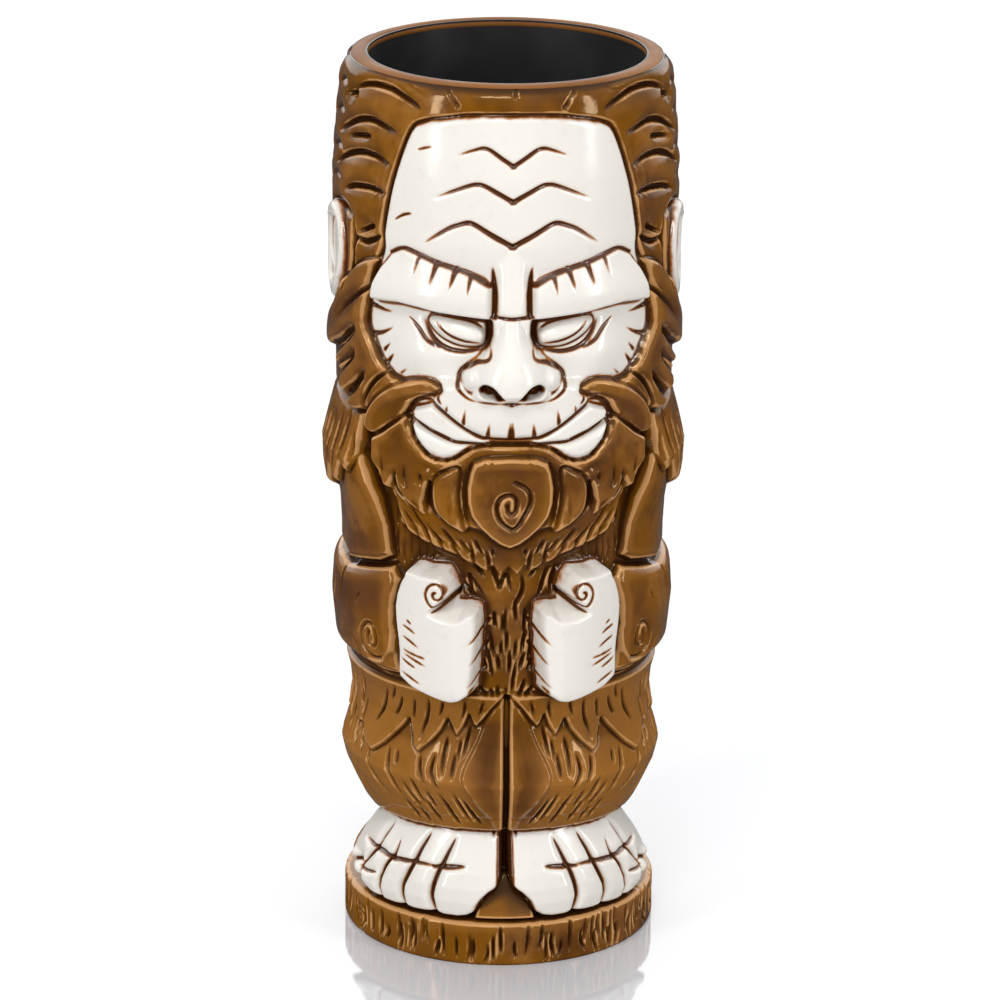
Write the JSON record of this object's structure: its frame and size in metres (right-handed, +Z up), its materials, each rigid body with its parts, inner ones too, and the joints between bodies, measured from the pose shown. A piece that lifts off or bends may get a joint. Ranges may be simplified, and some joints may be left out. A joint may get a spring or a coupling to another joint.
{
  "type": "tiki mug",
  "caption": "Tall glazed ceramic drinking mug shaped as a standing furry wild man with a beard, a long white forehead, fists on the belly and bare feet on a round plinth.",
  "frame": {"origin": "centre of the round foot ring, in the plane the mug stands on", "axes": "+Z up along the cup's axis; the figure faces -Y; node names ending in left or right are as seen from the front, so right is on +X"},
  "size_m": [0.0724, 0.0747, 0.18],
  "materials": {
    "brown_glaze": "glossy, pooling dark in the grooves and breaking pale on the edges",
    "white_glaze": "glossy, stained brown along the grooves",
    "black_glaze": "high gloss",
    "rim_glaze": "glossy, thin over the clay"
  },
  "bodies": {
    "root": {"back_fur": "brown_glaze", "base_plinth": "brown_glaze", "beard": "brown_glaze", "beard_lock_left": "brown_glaze", "beard_lock_right": "brown_glaze", "brow_left": "white_glaze", "brow_right": "white_glaze", "chest_fur": "brown_glaze", "chin_tuft": "brown_glaze", "cup_wall": "brown_glaze", "ear_left": "white_glaze", "ear_right": "white_glaze", "eyelid_left": "white_glaze", "eyelid_right": "white_glaze", "face_plate": "white_glaze", "foot_left": "white_glaze", "foot_right": "white_glaze", "forearm_left": "brown_glaze", "forearm_right": "brown_glaze", "hair_back": "brown_glaze", "hair_left": "brown_glaze", "hair_right": "brown_glaze", "hand_left": "white_glaze", "hand_right": "white_glaze", "heel_left": "brown_glaze", "heel_right": "brown_glaze", "inner_glaze": "black_glaze", "leg_left": "brown_glaze", "leg_right": "brown_glaze", "lower_lip_left": "white_glaze", "lower_lip_right": "white_glaze", "moustache_left": "brown_glaze", "moustache_right": "brown_glaze", "muzzle": "white_glaze", "nose": "white_glaze", "nose_bridge": "white_glaze", "rim_lip": "rim_glaze", "sideburn_left": "brown_glaze", "sideburn_right": "brown_glaze", "thumb_left": "white_glaze", "thumb_right": "white_glaze", "toes_left": "white_glaze", "toes_right": "white_glaze", "upper_arm_left": "brown_glaze", "upper_arm_right": "brown_glaze", "upper_lip_left": "white_glaze", "upper_lip_right": "white_glaze"}
  },
  "joints": []
}
